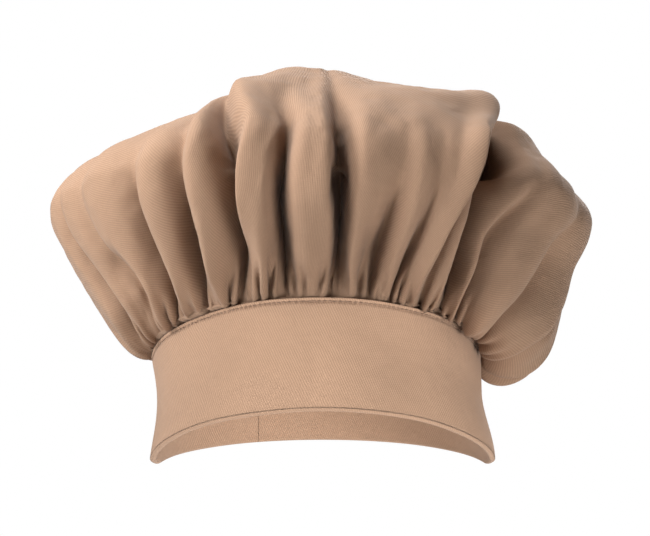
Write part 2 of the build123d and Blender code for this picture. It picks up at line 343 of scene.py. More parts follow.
def make_mesh(name, points, faces, flat=None):
    mesh = bpy.data.meshes.new(name)
    mesh.from_pydata(np.asarray(points, float).tolist(), [], faces)
    if flat is not None:
        layer = mesh.uv_layers.new(name="flat")
        loops = read(mesh.loops, "vertex_index", kind=np.int32)
        layer.data.foreach_set("uv", flat[loops, :2].astype(np.float32).ravel())
    mesh.shade_smooth()
    mesh.update()
    return mesh


def make_object(name, mesh):
    obj = bpy.data.objects.new(name, mesh)
    bpy.context.scene.collection.objects.link(obj)
    return obj


def make_piece(name, shape, node, material, body=None, wear_and_shade=None):
    """A finished piece for one CAD node. Its last argument says how rubbed each point is and, below 0, how
    deep its painted shade is.
    """
    obj = make_object(name, make_mesh(name, *shape))
    obj.data.materials.append(material)
    if wear_and_shade is not None:
        attribute = obj.data.attributes.new("wear_and_shade", "FLOAT", "POINT")
        attribute.data.foreach_set("value", wear_and_shade.astype(np.float32))
    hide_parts(node)
    if body:
        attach(obj, body)
    return obj


def unit(vectors):
    return vectors / np.maximum(np.linalg.norm(vectors, axis=-1, keepdims=True), 1e-12)


def lengths_along(path):
    """Distance along a path to each of its points."""
    return np.concatenate([[0], np.cumsum(np.linalg.norm(np.diff(path, axis=0), axis=1))])


def tubes(centres, side, radius=THREAD_RADIUS, sides=6):
    """Round tubes, one per row of centres. side is square to the plane that each tube lies in."""
    count, steps = centres.shape[:2]
    tangent = unit(np.gradient(centres, axis=1))
    up = unit(np.cross(side, tangent))
    angle = np.arange(sides) * 2 * math.pi / sides
    turn = np.cos(angle)[:, None] * up[:, :, None] + np.sin(angle)[:, None] * side[:, :, None]
    points = centres[:, :, None] + radius * turn
    one = np.array(grid_faces(steps, sides, closed=True))
    start = np.arange(count)[:, None, None] * steps * sides
    faces = (start + one).reshape(-1, 4).tolist()
    near = np.arange(sides)[::-1]
    far = (steps - 1) * sides + np.arange(sides)
    faces += (start[:, 0] + near).tolist() + (start[:, 0] + far).tolist()
    along = np.stack([lengths_along(path) for path in centres])
    flat = np.stack(np.broadcast_arrays(along[..., None], angle * THREAD_RADIUS), -1)
    return points.reshape(-1, 3), faces, flat.reshape(-1, 2)


def stitches(path, normal, pitch, run):
    """A row of stitches along a path. Each one bulges in the middle and dives into the cloth at its ends."""
    along = lengths_along(path)
    count = int(along[-1] / pitch)
    rng = np.random.default_rng(SEED + count)
    starts = (np.arange(count) + 0.5) * along[-1] / count - run / 2
    t = np.linspace(0, 1, 7)
    at = starts[:, None] + (t + rng.normal(0, 0.03, (count, 1))) * run
    centres, outwards = (
        np.stack([np.interp(at, along, column) for column in values.T], -1) for values in (path, normal)
    )
    outwards = unit(outwards)
    depth = THREAD_RADIUS * (0.5 - 2.4 * np.abs(2 * t - 1) ** 3)
    centres = centres + outwards * depth[:, None]
    side = unit(np.cross(unit(np.gradient(centres, axis=1)), outwards))
    slant = rng.normal(0, 0.1, (count, 1, 1)) * (t - 0.5)[:, None] * run
    return tubes(centres + side * slant, side)


# ---- Crown: the surface the folds lie on ----


def profile_table(profile):
    """Distance from the axis (as a share of the seam's) and height, at even steps along the cloth."""
    points = np.array(profile, float) * MM
    steps = np.hypot(*np.diff(points, axis=0).T)
    along = np.concatenate([[0], np.cumsum(steps)])
    even = np.linspace(0, along[-1], PROFILE_SAMPLES)
    kernel = np.hanning(19)
    kernel /= kernel.sum()
    pad = len(kernel) // 2
    smooth = []
    for column in (0, 1):
        values = np.interp(even, along, points[:, column])
        padded = np.pad(values, pad, mode="reflect", reflect_type="odd")
        smooth.append(np.convolve(padded, kernel, mode="valid"))
    return smooth[0] / points[0, 0], smooth[1]


PROFILES = [profile_table(p) for p in (LEFT_PROFILE, RIGHT_PROFILE, FRONT_PROFILE, BACK_PROFILE)]
SIDE_SEAM, END_SEAM = LEFT_PROFILE[0][1] * MM, FRONT_PROFILE[0][1] * MM  # heights where profiles start


def crown_base(bearing, share):
    """Points of the smooth crown. share is 0 at the seam and 1 at the middle of the circle."""
    x, y = np.sin(bearing), -np.cos(bearing)
    weights = [np.clip(way, 0, 1) ** 2 for way in (-x, x, -y, y)]
    index = np.clip(share, 0, 1) * (PROFILE_SAMPLES - 1)
    grid = np.arange(PROFILE_SAMPLES)
    scale, height = (
        sum(weight * np.interp(index, grid, table[part]) for weight, table in zip(weights, PROFILES))
        for part in (0, 1)
    )
    seam_x, seam_y = band_oval(bearing, NECK)
    at_seam = band_point(bearing, NECK, BAND_HEIGHT)
    blended_seam = SIDE_SEAM * (weights[0] + weights[1]) + END_SEAM * (weights[2] + weights[3])
    near = (1 - smoothstep(0.0, 0.15, share))[..., None]
    follow = 1 - smoothstep(0.0, 0.4, share)
    height = height + follow * (at_seam[..., 2] + MM - blended_seam)
    place = np.stack([seam_x * scale, seam_y * scale, height], -1)
    shift = at_seam - np.stack([seam_x, seam_y, at_seam[..., 2]], -1)
    return place + near * shift


def crown_normals(bearing, share):
    """Outward unit normals of the smooth crown."""
    step = 1e-3
    across = crown_base(bearing + step, share) - crown_base(bearing - step, share)
    up = crown_base(bearing, share + step) - crown_base(bearing, share - step)
    return unit(np.cross(across, up))


# ---- Crown: folds ----


def back_folds(rng):
    """Folds for the sides and the back, in the same form as the front ones."""
    folds = []
    bearing, crest = BACK_BEARINGS[0], True
    while bearing < BACK_BEARINGS[1]:
        lean_out = np.interp(bearing, *BACK_LEAN) + rng.uniform(-1.8, 1.8)
        height = rng.uniform(*BACK_CRESTS) if crest else -rng.uniform(*BACK_HOLLOWS)
        fade = rng.uniform(*BACK_FADES)
        bearings = tuple(bearing + grow * lean_out for grow in (1, 1.5, 2, 2.5))
        folds.append((bearing, bearings, (0.9 * height, height, fade * height, 0.3 * fade * height)))
        bearing += rng.uniform(*BACK_SPACING)
        crest = not crest
    return folds


def smoothed(field, width, axis, mode):
    """field blurred along one axis by a window of that many samples."""
    kernel = np.hanning(width + 2)[1:-1]
    kernel /= kernel.sum()
    pad = [(0, 0), (0, 0)]
    pad[axis] = (width // 2, width // 2)
    padded = np.pad(field, pad, mode=mode)
    return np.apply_along_axis(lambda line: np.convolve(line, kernel, mode="valid"), axis, padded)


def eased_between(bearings, seams, heights):
    """Heights between neighbouring folds: steep out of a hollow and round over a crest."""
    order = np.argsort(seams)
    seams, heights = seams[order], heights[order]
    seams = np.concatenate([[seams[-1] - 360], seams, [seams[0] + 360]])
    heights = np.concatenate([heights[-1:], heights, heights[:1]])
    right = np.searchsorted(seams, bearings, side="right")
    left = right - 1
    t = (bearings - seams[left]) / (seams[right] - seams[left])
    low, high = np.minimum(heights[left], heights[right]), np.maximum(heights[left], heights[right])
    climb = np.where(heights[right] > heights[left], t, 1 - t)
    return low + (high - low) * (1 - (1 - climb) ** 1.8)


def fold_field(folds):
    """How far the cloth is turned round the hat (degrees) and lifted off it (mm), on an even grid."""
    bearings = np.arange(FIELD_BEARINGS) * 360 / FIELD_BEARINGS
    shares = np.linspace(0, 1, FIELD_SHARES)
    seams = np.array([fold[0] for fold in folds]) % 360
    order = np.argsort(seams)
    levels = (0.0, *FOLD_LEVELS, 1.0)
    turns, lifts = [], []
    for index in range(len(FOLD_LEVELS)):
        turn = np.array([fold[1][index] - fold[0] for fold in folds])
        lift = np.array([fold[2][index] for fold in folds], float)
        turns.append(np.interp(bearings, seams[order], turn[order], period=360))
        lifts.append(eased_between(bearings, seams, lift))
    still = np.zeros(FIELD_BEARINGS)
    fields = []
    for rows in ((still, *turns, turns[-1]), (still, *lifts, still)):
        rows = np.array(rows)
        field = np.array([np.interp(shares, levels, rows[:, column]) for column in range(FIELD_BEARINGS)])
        field = smoothed(field, 7, 0, "wrap")
        fields.append(smoothed(field, 21, 1, "edge"))
    return fields


def sample_field(field, bearing, share):
    """A fold field read between its samples."""
    across = (bearing / (2 * math.pi) * FIELD_BEARINGS) % FIELD_BEARINGS
    up = share * (FIELD_SHARES - 1)
    i, j = np.floor(across).astype(int), np.clip(np.floor(up).astype(int), 0, FIELD_SHARES - 2)
    s, t = across - i, up - j
    k = (i + 1) % FIELD_BEARINGS
    i = i % FIELD_BEARINGS
    near = field[i, j] * (1 - s) + field[k, j] * s
    far = field[i, j + 1] * (1 - s) + field[k, j + 1] * s
    return near * (1 - t) + far * t


def uneven_phase(bearing, count, rng):
    """A phase that runs count times round the hat, faster in some places than in others."""
    phase = count * bearing
    for harmonic in (3, 5, 9, 14):
        phase = phase + rng.uniform(0.5, 1.2) * np.sin(harmonic * bearing + rng.uniform(*ANY_PHASE))
    return phase


def gather_waves(bearing, share, count, amplitude, start, peak, end, rng):
    """Waves all round the crown that are tallest at peak."""
    phase = uneven_phase(bearing, count, rng)
    slow, fast = (np.sin(cycles * bearing + rng.uniform(*ANY_PHASE)) for cycles in (7, 17))
    uneven = 1 + 0.35 * slow * fast
    reach = smoothstep(start, peak, share) * (1 - smoothstep(peak, end, share))
    return amplitude * uneven * reach * np.sin(phase)


def crown_seed(bearing, share):
    """The gathered crown before it settles."""
    rng = np.random.default_rng(SEED)
    turn, lift = fold_field(list(FRONT_FOLDS) + back_folds(rng))
    placed = bearing + np.radians(sample_field(turn, bearing, share))
    lift = sample_field(lift, bearing, share)
    away = (np.clip(lift, 0, None) + HOLLOW_DEPTH * np.clip(lift, None, 0)) * MM
    for wave in GATHER_WAVES:
        away += gather_waves(bearing, share, *wave, rng)
    normal = crown_normals(placed, np.clip(share, 2e-3, 0.995))
    return crown_base(placed, share) + normal * away[:, None]


# ---- Crown: mesh and settling ----


def crown_rows():
    """Radius of each row of the flat circle, from the seam inwards. Rows are closest at the seam."""
    radii, radius = [], CIRCLE_RADIUS
    while radius > 0.8 * TOP_ROW_STEP:
        radii.append(radius)
        towards_top = smoothstep(0.0, 0.5, 1 - radius / CIRCLE_RADIUS)
        radius -= SEAM_ROW_STEP + (TOP_ROW_STEP - SEAM_ROW_STEP) * towards_top
    return radii


def crown_columns(radii):
    """How many columns each row has: halved whenever they get too narrow."""
    sizes, columns = [], SEAM_COLUMNS
    for radius in radii:
        if columns > 15 and 2 * math.pi * radius / columns < 0.55 * TOP_ROW_STEP:
            columns //= 2
        sizes.append(columns)
    return sizes


def crown_faces(sizes):
    """Faces between the rows. Where a row has half the columns, a triangle and a quad share each step."""
    faces, start = [], 0
    for here, above in zip(sizes, sizes[1:]):
        up = start + here
        for j in range(above):
            k = (j + 1) % above
            if here == above:
                faces.append((start + j, start + k, up + k, up + j))
            else:
                a, b, c = start + 2 * j, start + 2 * j + 1, start + (2 * j + 2) % here
                faces.append((a, b, up + j))
                faces.append((b, c, up + k, up + j))
        start = up
    apex = start + sizes[-1]
    for j in range(sizes[-1]):
        faces.append((start + j, start + (j + 1) % sizes[-1], apex))
    return faces


def flat_circle(radii, sizes):
    """The crown's points on the uncut circle of cloth."""
    rings = []
    for radius, columns in zip(radii, sizes):
        bearing = np.arange(columns) * 2 * math.pi / columns
        rings.append(np.stack([radius * np.sin(bearing), -radius * np.cos(bearing)], -1))
    return np.concatenate([*rings, np.zeros((1, 2))])


def crown_place(flat):
    """Bearing and share of points on the flat circle."""
    return np.arctan2(flat[:, 0], -flat[:, 1]), 1 - np.hypot(flat[:, 0], flat[:, 1]) / CIRCLE_RADIUS


def evaluated_mesh(obj):
    """A copy of an object's mesh with its modifiers worked out."""
    return bpy.data.meshes.new_from_object(obj.evaluated_get(bpy.context.evaluated_depsgraph_get()))


def settle(obj, flat, pinned):
    """Lets the seeded crown relax as cloth cut from a flat circle, held at the seam."""
    obj.shape_key_add(name="seed")
    key = obj.shape_key_add(name="flat")
    rest = np.concatenate([flat * SIM_SCALE, np.zeros((len(flat), 1))], 1)
    key.data.foreach_set("co", rest.astype(np.float32).ravel())
    key.value = 0
    group = obj.vertex_groups.new(name="seam")
    for index, weight in enumerate(pinned):
        group.add([index], float(weight), "REPLACE")
    cloth = obj.modifiers.new("cloth", "CLOTH")
    for setting, value in CLOTH_SETTINGS.items():
        setattr(cloth.settings, setting, value)
    cloth.settings.rest_shape_key = key
    cloth.collision_settings.use_collision = False
    cloth.point_cache.frame_start = 1
    cloth.point_cache.frame_end = SIM_FRAMES
    scene = bpy.context.scene
    for frame in range(1, SIM_FRAMES + 1):
        scene.frame_set(frame)
    points = read(evaluated_mesh(obj).vertices, "co", 3)
    scene.frame_set(1)
    return points.astype(float) / SIM_SCALE


def smoothed_on_mesh(values, edges, rounds, held):
    """values averaged with their neighbours, round after round. Held points stay at zero."""
    count = np.bincount(edges.ravel(), minlength=len(values)).astype(float)[:, None]
    for _ in range(rounds):
        total = np.zeros_like(values)
        for axis in range(values.shape[1]):
            total[:, axis] += np.bincount(edges[:, 0], values[edges[:, 1], axis], len(values))
            total[:, axis] += np.bincount(edges[:, 1], values[edges[:, 0], axis], len(values))
        values = 0.5 * values + 0.5 * total / count
        values[held] = 0
    return values


def settled_crown(faces, flat):
    """The crown after settling. It keeps the folds of the cloth and the seed's own broad shape."""
    bearing, share = crown_place(flat)
    seed = crown_seed(bearing, share)
    trial = make_object("crown_trial", make_mesh("crown_trial", seed * SIM_SCALE, faces))
    held = share < 0.012
    settled = settle(trial, flat, np.where(held, 1.0, 0.04))
    edges = read(trial.data.edges, "vertices", 2, np.int32)
    drift = smoothed_on_mesh(settled - seed, edges, KEEP_SHAPE_STEPS, held)
    bpy.data.objects.remove(trial)
    return settled - drift


def subdivided(points, faces, flat):
    """A finer, smoother copy of a sheet, as a shape."""
    obj = make_object("coarse", make_mesh("coarse", points, faces, flat))
    subdivision = obj.modifiers.new("subdivision", "SUBSURF")
    subdivision.levels = 1
    subdivision.uv_smooth = "PRESERVE_BOUNDARIES"
    mesh = evaluated_mesh(obj)
    bpy.data.objects.remove(obj)
    loops = read(mesh.loops, "vertex_index", kind=np.int32)
    fine_flat = np.zeros((len(mesh.vertices), 2))
    fine_flat[loops] = read(mesh.uv_layers["flat"].data, "uv", 2)
    return read(mesh.vertices, "co", 3).astype(float), loops.reshape(-1, 4).tolist(), fine_flat


def vertex_normals(points, faces):
    return read(make_mesh("normals", points, faces).vertices, "normal", 3).astype(float)


def fine_gathers(bearing, share):
    """Height of the small round gathers just above the seam, with sharp valleys between them."""
    rng = np.random.default_rng(SEED + 1)
    phase = uneven_phase(bearing, GATHERS, rng) / (2 * math.pi)
    number = np.floor(phase).astype(int) % GATHERS
    within = phase - np.floor(phase)
    size = rng.uniform(0.6, 1.5, GATHERS)[number]
    reach = rng.uniform(0.05, 0.14, GATHERS)[number]
    round_top = np.sqrt(np.clip(4 * within * (1 - within), 0, 1))
    fade = np.clip(1 - share / reach, 0, 1)
    rise = 0.25 + 0.75 * smoothstep(0, 0.02, share)
    return GATHER_HEIGHT * size * (round_top - 0.6) * rise * fade**0.8


def kept_off_band(points):
    """Points moved out of the headband's outer leaf and its edge, where the crown hangs over it."""
    bearing = np.arctan2(points[:, 0], -points[:, 1])
    top = band_point(bearing, OUTER_LEAF[1], BAND_HEIGHT)
    height = points[:, 2] - top[:, 2] + BAND_HEIGHT
    surface = band_point(bearing, OUTER_LEAF[1] + 0.6 * MM, height)
    out = np.hypot(points[:, 0], points[:, 1])
    least = np.hypot(surface[:, 0], surface[:, 1])
    low = 1 - smoothstep(BAND_HEIGHT + 0.1 * MM, BAND_HEIGHT + 1.2 * MM, height)
    push = 1 + low * np.clip(least / np.maximum(out, 1e-6) - 1, 0, None)
    return points * np.stack([push, push, np.ones_like(push)], -1)


def with_neck(points, faces, flat):
    """Adds the cloth that runs down from the seam between the leaves of the headband."""
    bearing, share = crown_place(flat)
    seam = np.flatnonzero(share < 1e-4)
    seam = seam[np.argsort(bearing[seam])]
    wave = 0.3 * MM * np.sin(uneven_phase(bearing[seam], GATHERS, np.random.default_rng(SEED + 1)))
    depth = np.linspace(0, SEAM_ALLOWANCE, NECK_ROWS + 1)[1:, None]
    neck = band_point(bearing[seam], NECK + wave, BAND_HEIGHT - depth)
    neck_flat = flat[seam] * (1 + depth[..., None] / CIRCLE_RADIUS)
    numbers = np.arange(NECK_ROWS * len(seam)).reshape(NECK_ROWS, -1)
    rows = np.vstack([seam, len(points) + numbers])
    at_gap = (np.abs(neck[0, :, 0] - END_GAP_X) < 1.6 * END_HEM) & (neck[0, :, 1] > 0)
    for corners in grid_faces(*rows.shape, closed=True):
        if not any(at_gap[corner % len(seam)] for corner in corners):
            faces.append([int(rows.flat[corner]) for corner in reversed(corners)])
    points = np.concatenate([points, neck.reshape(-1, 3)])
    return points, faces, np.concatenate([flat, neck_flat.reshape(-1, 2)])


def make_crown(material):
    radii = crown_rows()
    sizes = crown_columns(radii)
    faces = crown_faces(sizes)
    flat = flat_circle(radii, sizes)
    points, faces, flat = subdivided(settled_crown(faces, flat), faces, flat)
    bearing, share = crown_place(flat)
    normals = vertex_normals(points, faces)
    points = points + normals * fine_gathers(bearing, share)[:, None]
    above_seam = share > 0.004
    points[above_seam] = kept_off_band(points[above_seam])
    piece = make_object("crown", make_mesh("crown", *with_neck(points, faces, flat)))
    piece.data.materials.append(material)
    thickness = piece.modifiers.new("thickness", "SOLIDIFY")
    thickness.thickness = CLOTH
    thickness.offset = -1
    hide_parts("crown_side", "crown_top")
    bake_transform(piece)


# ---- Headband ----

# Rows of the band's faces, closest by the topstitch. The pocket between the leaves needs fewer.
FACE_HEIGHTS = np.append(np.linspace(FOLD_HEIGHT, 49.5 * MM, 24), np.linspace(50.2 * MM, 54.7 * MM, 13))
WALL_STEP = 4
WALL_HEIGHTS = FACE_HEIGHTS[::WALL_STEP]
BAND_COLUMNS = 720
GROOVE_DEPTH, EDGE_BULK, DRAG_DEPTH = 0.34 * MM, 0.14 * MM, 0.05 * MM


def half_circle(middle, height, radius, turn, steps):
    """Points of an arch from one side of middle to the other. turn is 1 for over it, -1 for under it."""
    angle = np.linspace(math.pi, 0, steps + 2)[1:-1]
    return np.stack([middle + radius * np.cos(angle), height + turn * radius * np.sin(angle)], -1)


def straight(offset, heights):
    return np.stack([np.full(len(heights), offset), heights], -1)


def strip_section():
    """The folded strip cut across, as offsets and heights, and which side each point is on.

    It runs up the outside, over the outer leaf's edge into the pocket, down one wall and up the other,
    over the inner leaf's edge and down the inside to the fold. Sides: 1 outside, -1 inside, 0 between.
    """
    edge = FACE_HEIGHTS[-1]
    round_edge = CLOTH / 2
    middle = OUTER_LEAF[1] / 2
    runs = [
        (straight(OUTER_LEAF[1], FACE_HEIGHTS), 1),
        (half_circle(OUTER_LEAF[0] + round_edge, edge, round_edge, 1, 3)[::-1], 0.5),
        (straight(OUTER_LEAF[0], WALL_HEIGHTS[::-1]), 0),
        (half_circle(middle, FOLD_HEIGHT, OUTER_LEAF[0] - middle, -1, 3)[::-1], 0),
        (straight(INNER_LEAF[1], WALL_HEIGHTS), 0),
        (half_circle(INNER_LEAF[0] + round_edge, edge, round_edge, 1, 3)[::-1], -0.5),
        (straight(INNER_LEAF[0], FACE_HEIGHTS[::-1]), -1),
        (half_circle(middle, FOLD_HEIGHT, middle, -1, 7), 0),
    ]
    section = np.concatenate([run for run, _ in runs])
    side = np.concatenate([np.full(len(run), value) for run, value in runs])
    return section, side


def seam_relief(bearing, height):
    """The outer surface near the topstitch: a puckered groove, and a bulky edge above it."""
    along = bearing * END_RADIUS
    pucker = 1 + 0.5 * np.sin(2 * math.pi * along / TOPSTITCH[0])
    groove = GROOVE_DEPTH * pucker * hump(height, TOPSTITCH_HEIGHT, 0.8 * MM)
    lumps = np.sin(260 * bearing) * np.sin(87 * bearing + 1) + 0.6 * np.sin(143 * bearing + 2)
    edge = EDGE_BULK * lumps * smoothstep(51 * MM, 54 * MM, height)
    drag = DRAG_DEPTH * np.sin(118 * bearing + 90 * height) * smoothstep(30 * MM, 50 * MM, height)
    return edge + drag - groove


def band_cap(first, section_size):
    """Faces that close one end of the strip, where its pocket is sewn shut."""
    face, wall = len(FACE_HEIGHTS), len(WALL_HEIGHTS)
    outer_wall = face + 3 + np.arange(wall)[::-1]
    inner_wall = face + 3 + wall + 3 + np.arange(wall)
    inner_face = inner_wall[-1] + 4 + np.arange(face)[::-1]
    outer_face = np.arange(face)
    faces = []
    for outside, pocket in ((outer_face, outer_wall), (inner_face, inner_wall)):
        for k in range(wall - 1):
            run = outside[WALL_STEP * k : WALL_STEP * k + WALL_STEP + 1]
            faces.append([*run, pocket[k + 1], pocket[k]])
    faces.append([face - 1, face, face + 1, face + 2, face + 3])
    faces.append([inner_wall[-1], *(inner_wall[-1] + 1 + np.arange(3)), inner_face[-1]])
    below = np.arange(inner_face[0], section_size)
    floor = np.arange(outer_wall[0], inner_wall[0] + 1)
    faces.append([*below, 0, *floor])
    return [[int(first + index) for index in polygon] for polygon in faces]


def headband(material):
    section, side = strip_section()
    bearing = band_bearings(BAND_COLUMNS, 0.08 * MM)[:, None]
    offset, height = section[:, 0], section[:, 1]
    from_end = np.minimum(bearing - bearing[0], bearing[-1] - bearing) * END_RADIUS
    sewn = 1 - smoothstep(0.3 * END_HEM, END_HEM, from_end)
    middle = OUTER_LEAF[1] / 2
    between = (side == 0) & (height > 0.99 * FOLD_HEIGHT)
    offset = offset + between * sewn * (middle - offset)
    offset = offset + side * seam_relief(bearing, height)
    pinched = 0.1 * (1 - smoothstep(0, 0.6 * END_HEM, from_end))
    offset = middle + (offset - middle) * (1 - pinched)
    points = band_point(bearing, offset, np.broadcast_to(height, offset.shape))
    count, size = points.shape[:2]
    faces = strip_faces(count, size)
    faces += [face[::-1] for face in band_cap(0, size)] + band_cap((count - 1) * size, size)
    round_hat = bearing * (HEAD_HALF_WIDTH + HEAD_HALF_DEPTH) / 2
    flat = np.stack(np.broadcast_arrays(round_hat, -lengths_along(section)), -1)
    # Rubbed lighter along the top edge; below 0, at the lower fold, painted shade darkens the colour.
    wear_and_shade = 0.7 * hump(height, BAND_HEIGHT, 0.7 * MM) - hump(height, 0, 1.7 * MM)
    wear_and_shade = np.broadcast_to(wear_and_shade, offset.shape).ravel()
    shape = (points.reshape(-1, 3), faces, flat.reshape(-1, 2))
    make_piece("headband_strip", shape, "headband", material, "headband", wear_and_shade)


def ring_strip(layer, low, high):
    """A plain strip round the hat inside the headband, clear of its sewn ends."""
    heights = np.linspace(low, high, 12)
    section = np.concatenate([straight(layer[1], heights), straight(layer[0], heights[::-1])])
    bearing = band_bearings(240, END_HEM + 0.7 * MM)[:, None]
    count, size = len(bearing), len(section)
    points = band_point(bearing, section[:, 0], np.broadcast_to(section[:, 1], (count, size)))
    faces = strip_faces(count, size)
    faces += [list(range(size)), list(range(count * size - 1, (count - 1) * size - 1, -1))]
    flat = np.stack(np.broadcast_arrays(bearing * HEAD_HALF_DEPTH, section[:, 1]), -1)
    return points.reshape(-1, 3), faces, flat.reshape(-1, 2)


def band_row(offset, height, stitch, facing=1):
    """A row of stitches round the headband. facing is -1 for thread on the head's side of its cloth."""
    bearing = np.linspace(GAP_BEARING - 2 * math.pi + 0.006, GAP_BEARING - 0.006, 2400)
    path = band_point(bearing, offset, np.full(len(bearing), height))
    return stitches(path, facing * band_normal(bearing), *stitch)


# ---- Back closure ----


def inset(span, by):
    return (span[0] + by, span[1] - by)


def close_to_ends(span, step):
    """Places along a span, closer together near both of its ends."""
    near = np.array([0, 0.2, 0.5, 0.9, 1.4, 2.0, 2.6, 3.2, 4.0]) * MM
    count = max(int((span[1] - span[0] - 2 * near[-1]) / step), 1)
    middle = np.linspace(span[0] + near[-1], span[1] - near[-1], count + 1)
    return np.concatenate([span[0] + near, middle[1:-1], span[1] - near[::-1]])


def rounded_panel(x_range, z_range, corner, step):
    """A grid of places over a rectangle with round corners, and how far each is from its edge."""
    z = close_to_ends(z_range, step)[:, None]
    columns = close_to_ends(x_range, step)
    share = (columns - x_range[0]) / (x_range[1] - x_range[0])
    into_corner = np.clip(corner - np.minimum(z - z_range[0], z_range[1] - z), 0, corner)
    cut = corner - np.sqrt(np.clip(corner**2 - into_corner**2, 0, None))
    x = x_range[0] + cut + share * (x_range[1] - x_range[0] - 2 * cut)
    z = np.broadcast_to(z, x.shape)
    half = np.array([x_range[1] - x_range[0], z_range[1] - z_range[0]]) / 2
    centre = np.array([sum(x_range), sum(z_range)]) / 2
    past = np.stack([np.abs(x - centre[0]), np.abs(z - centre[1])], -1) - (half - corner)
    outside = np.linalg.norm(np.clip(past, 0, None), axis=-1)
    inside = np.minimum(past.max(-1), 0)
    return x, z, np.maximum(corner - outside - inside, 0)


def two_sided(front, back, flat):
    """A closed sheet from two grids of points that face opposite ways."""
    rows, columns = front.shape[:2]
    size = rows * columns
    faces = grid_faces(rows, columns)
    around = [*range(columns), *range(2 * columns - 1, size, columns)]
    around += [*range(size - 2, size - columns - 1, -1), *range(size - 2 * columns, 0, -columns)]
    reverse = [[size + index for index in face[::-1]] for face in faces]
    rim = [(b, a, size + a, size + b) for a, b in zip(around, around[1:] + around[:1])]
    points = np.concatenate([front.reshape(-1, 3), back.reshape(-1, 3)])
    return points, faces + reverse + rim, np.concatenate([flat.reshape(-1, 2)] * 2)


def back_panel(x_range, z_range, corner, layer, step, stitch_inset=None, plump=0.0):
    """A sheet over the back of the band with rounded edges. It is drawn in along its stitching."""
    x, z, edge = rounded_panel(x_range, z_range, corner, step)
    middle, half = sum(layer) / 2, (layer[1] - layer[0]) / 2
    round_off = np.sqrt(np.clip(1 - (1 - np.clip(edge / (2 * half), 0, 1)) ** 2, 0, 1))
    thickness = half * (0.25 + 0.75 * round_off)
    if stitch_inset is not None:
        thickness = thickness - 0.3 * half * hump(edge, stitch_inset, 0.8 * MM)
        thickness = thickness + plump * hump(edge, stitch_inset / 2, 0.5 * stitch_inset)
    outer = back_point(x, z, middle + thickness)
    inner = back_point(x, z, middle - np.minimum(thickness, half))
    return two_sided(inner, outer, np.stack([x, z], -1)), np.tile(hump(edge, 0, 0.7 * MM).ravel(), 2)


def panel_outline(x_range, z_range, corner):
    """Places round a rectangle with round corners, starting at the middle of its lower side."""
    runs = []
    for turn, (x, z) in enumerate(((1, 0), (1, 1), (0, 1), (0, 0))):
        angle = np.radians(np.linspace(-90, 0, 12) + 90 * turn)
        centre_x = x_range[x] + corner * (1 - 2 * x)
        centre_z = z_range[z] + corner * (1 - 2 * z)
        runs.append(np.stack([centre_x + corner * np.cos(angle), centre_z + corner * np.sin(angle)], -1))
    start = np.array([[sum(x_range) / 2, z_range[0]]])
    corners = np.concatenate([start, *runs, start])
    along = lengths_along(corners)
    even = np.linspace(0, along[-1], 900)
    return np.interp(even, along, corners[:, 0]), np.interp(even, along, corners[:, 1])


def panel_stitches(x_range, z_range, corner, offset, facing=1):
    x, z = panel_outline(x_range, z_range, corner)
    return stitches(back_point(x, z, offset), facing * back_normal(x), *CLOSURE_STITCH)


def pile(x_range, z_range, root, tip, pitch, spread, sweep, scatter, radius, seed):
    """Little arches of yarn in rows over the back. sweep is how far round each arch goes, in degrees."""
    rng = np.random.default_rng(seed)
    x, z = np.meshgrid(np.arange(x_range[0], x_range[1], pitch), np.arange(z_range[0], z_range[1], pitch))
    x, z = (grid.ravel() + rng.uniform(-0.3, 0.3, grid.size) * pitch * (scatter > 0) for grid in (x, z))
    turn = rng.normal(0, scatter, len(x))[:, None]
    angle = np.radians(np.linspace(180, 180 - sweep, 7))
    across = spread * np.cos(angle)
    rise = root + (tip - root) * np.sin(angle)
    path_x, path_z = x[:, None] + across * np.cos(turn), z[:, None] + across * np.sin(turn)
    centres = back_point(path_x, path_z, rise)
    side = np.stack([-np.sin(turn), np.zeros_like(turn), np.cos(turn)], -1)[:, 0]
    return tubes(centres, side[:, None] * np.ones((1, 7, 1)), radius, sides=4)


def tape_shape(x_range, surface, facing, tip, yarn):
    """A tape over the back with its loops or hooks. Those stand outwards if facing is 1."""
    ground = sorted((surface, surface + facing * TAPE_GROUND))
    base, _ = back_panel(x_range, STRIP_Z, TAPE_CORNER, ground, COARSE_STEP)
    root = surface + facing * 0.3 * MM
    return merged([base, pile(inset(x_range, TAPE_EDGE), inset(STRIP_Z, TAPE_EDGE), root, tip, **yarn)])


def anchor_stitches():
    """Whip stitches from the band, over the edge of the tab's root, to the tab's face."""
    z = np.linspace(TAB_Z[0] + 1.5 * MM, TAB_Z[1] - 1.5 * MM, ANCHOR_STITCHES)[:, None]
    t = np.linspace(0, 1, 9)
    x = ANCHOR_X[0] + (ANCHOR_X[1] - ANCHOR_X[0]) * t + 0 * z
    lift = OUTER_LEAF[1] + (TAB[1] - OUTER_LEAF[1] + THREAD_RADIUS) * smoothstep(0.0, 0.55, t)
    ends = 2.5 * THREAD_RADIUS * np.abs(2 * t - 1) ** 6
    slope = z + 1.2 * MM * (t - 0.5)
    centres = back_point(x, slope, lift - ends)
    side = np.broadcast_to(np.array([0.0, 0.0, 1.0]), centres.shape)
    return tubes(centres, side)


# ---- Care label ----


